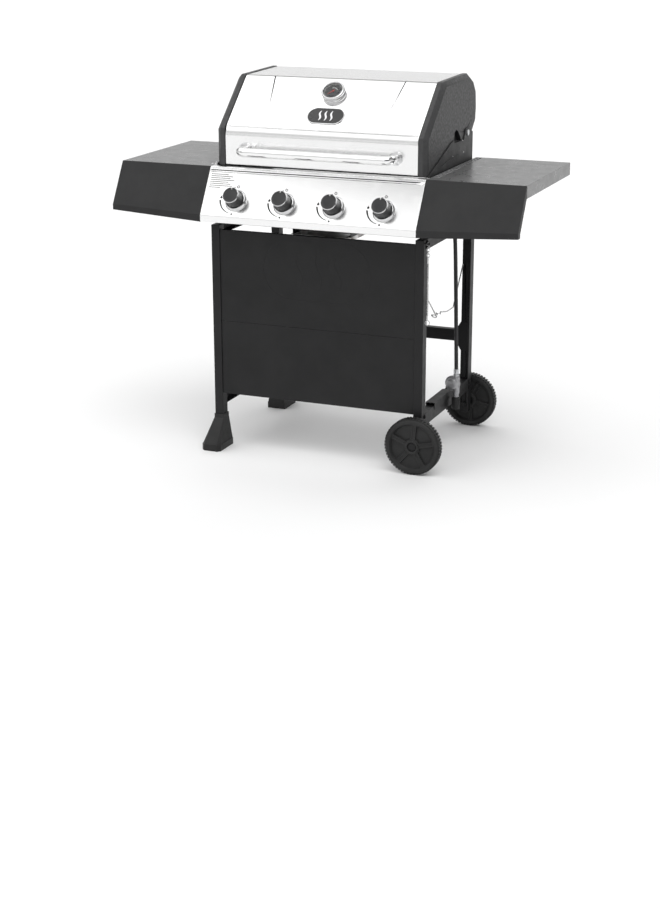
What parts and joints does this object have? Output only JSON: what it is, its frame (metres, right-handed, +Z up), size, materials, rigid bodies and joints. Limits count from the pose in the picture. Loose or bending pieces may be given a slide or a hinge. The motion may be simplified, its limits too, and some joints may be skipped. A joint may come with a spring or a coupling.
{
  "type": "gas barbecue grill",
  "caption": "Freestanding gas barbecue grill: hinged hood over a firebox, sloping control panel with knobs, side shelves, and a cart on feet and wheels.",
  "frame": {"origin": "on the ground, under the middle of the grill's overall box", "axes": "+X to the right of someone facing the knobs, +Y from the knobs to the back, +Z up"},
  "size_m": [1.28, 0.6352, 1.1326],
  "materials": {
    "steel_black": "satin black powder coat",
    "steel_black_hot": "black heat-resistant enamel",
    "plastic_black": "fine-grained moulded plastic",
    "stainless": "brushed stainless steel",
    "chrome": "bright plated",
    "zinc": "zinc plated",
    "cast_iron": "seasoned",
    "knob_plastic": "satin black",
    "wheel_plastic": "moulded",
    "brass": "turned",
    "aluminised": "aluminised sheet",
    "hose_rubber": "smooth",
    "die_cast": "die cast, grey",
    "wire": "bright wire",
    "dial": "printed dial plate",
    "badge_plate": "black with a bright rim"
  },
  "bodies": {
    "cart": {"leg_front_left": "steel_black", "leg_front_right": "steel_black", "leg_rear_left": "steel_black", "leg_rear_right": "steel_black", "front_panel_upper": "steel_black", "front_panel_lower": "steel_black", "lower_side_bar_left": "steel_black", "lower_side_bar_right": "steel_black", "upper_side_rail_left": "steel_black", "upper_side_rail_right": "steel_black", "rear_cross_bar": "steel_black", "tank_bracket": "steel_black", "shelf_top_left": "steel_black", "shelf_top_right": "steel_black", "shelf_rails": "steel_black", "firebox_pan": "steel_black_hot", "firebox_side_left": "steel_black_hot", "firebox_side_right": "steel_black_hot", "foot_front": "plastic_black", "foot_rear": "plastic_black", "shelf_fascia_left": "plastic_black", "shelf_fascia_right": "plastic_black", "control_panel": "stainless", "burners": "stainless", "heat_tents": "stainless", "knob_bezels": "chrome", "wheel_axles": "steel_black", "frame_bolts": "steel_black", "hinge_bolts": "zinc", "cooking_grate_left": "cast_iron", "cooking_grate_right": "cast_iron", "gas_valves": "brass", "manifold": "aluminised", "gas_hose": "hose_rubber", "regulator": "die_cast", "warming_rack": "wire"},
    "lid": {"lid_skin": "stainless", "lid_back": "steel_black_hot", "lid_end_left": "steel_black_hot", "lid_end_right": "steel_black_hot", "handle": "stainless", "handle_flanges": "chrome", "thermometer_bezel": "chrome", "thermometer_dial": "dial", "badge": "badge_plate"},
    "wheel_front": {"wheel_front": "wheel_plastic"},
    "wheel_rear": {"wheel_rear": "wheel_plastic"},
    "grease_tray": {"grease_tray": "aluminised", "grease_cup": "aluminised"},
    "tank_wire": {"tank_wire": "wire"},
    "lighting_rod": {"lighting_rod": "wire"},
    "regulator_nut": {"regulator_nut": "plastic_black"},
    "valve_stem_1": {"valve_stem_1": "brass"},
    "knob_1": {"knob_1": "knob_plastic"},
    "valve_stem_2": {"valve_stem_2": "brass"},
    "knob_2": {"knob_2": "knob_plastic"},
    "valve_stem_3": {"valve_stem_3": "brass"},
    "knob_3": {"knob_3": "knob_plastic"},
    "valve_stem_4": {"valve_stem_4": "brass"},
    "knob_4": {"knob_4": "knob_plastic"}
  },
  "joints": [
    {"name": "lid_hinge", "type": "hinge", "parent": "cart", "child": "lid", "pos_m": [0, 0.17402, 0.9596], "axis": [-1, 0, 0], "range_deg": [0, 80]},
    {"name": "knob_1_turn", "type": "hinge", "parent": "cart", "child": "valve_stem_1", "pos_m": [-0.234, -0.2661, 0.78583], "axis": [0, -0.8545, 0.5194], "range_deg": [0, 180]},
    {"name": "knob_1_push", "type": "slide", "parent": "valve_stem_1", "child": "knob_1", "axis": [0, 0.8545, -0.5194], "range_m": [0, 0.003], "stiffness_N_per_m": 800, "springref_m": -0.002},
    {"name": "knob_2_turn", "type": "hinge", "parent": "cart", "child": "valve_stem_2", "pos_m": [-0.078, -0.2661, 0.78583], "axis": [0, -0.8545, 0.5194], "range_deg": [0, 180]},
    {"name": "knob_2_push", "type": "slide", "parent": "valve_stem_2", "child": "knob_2", "axis": [0, 0.8545, -0.5194], "range_m": [0, 0.003], "stiffness_N_per_m": 800, "springref_m": -0.002},
    {"name": "knob_3_turn", "type": "hinge", "parent": "cart", "child": "valve_stem_3", "pos_m": [0.078, -0.2661, 0.78583], "axis": [0, -0.8545, 0.5194], "range_deg": [0, 180]},
    {"name": "knob_3_push", "type": "slide", "parent": "valve_stem_3", "child": "knob_3", "axis": [0, 0.8545, -0.5194], "range_m": [0, 0.003], "stiffness_N_per_m": 800, "springref_m": -0.002},
    {"name": "knob_4_turn", "type": "hinge", "parent": "cart", "child": "valve_stem_4", "pos_m": [0.234, -0.2661, 0.78583], "axis": [0, -0.8545, 0.5194], "range_deg": [0, 180]},
    {"name": "knob_4_push", "type": "slide", "parent": "valve_stem_4", "child": "knob_4", "axis": [0, 0.8545, -0.5194], "range_m": [0, 0.003], "stiffness_N_per_m": 800, "springref_m": -0.002},
    {"name": "wheel_front_spin", "type": "hinge", "parent": "cart", "child": "wheel_front", "pos_m": [0.32755, -0.25298, 0.08715], "axis": [0, 1, 0], "continuous": true},
    {"name": "wheel_rear_spin", "type": "hinge", "parent": "cart", "child": "wheel_rear", "pos_m": [0.32755, 0.28762, 0.08715], "axis": [0, 1, 0], "continuous": true},
    {"name": "grease_tray_slide", "type": "slide", "parent": "cart", "child": "grease_tray", "axis": [0, 1, 0], "range_m": [0, 0.25]},
    {"name": "tank_wire_swing", "type": "hinge", "parent": "cart", "child": "tank_wire", "pos_m": [0.32, 0.01732, 0.545], "axis": [0, 1, 0], "range_deg": [-4, 70]},
    {"name": "lighting_rod_swing", "type": "hinge", "parent": "cart", "child": "lighting_rod", "pos_m": [0.3522, -0.21308, 0.69], "axis": [1, 0, 0], "range_deg": [-40, 40]},
    {"name": "regulator_nut_spin", "type": "hinge", "parent": "cart", "child": "regulator_nut", "pos_m": [0.361, 0.03992, 0.145], "axis": [0, 0, 1], "continuous": true}
  ]
}
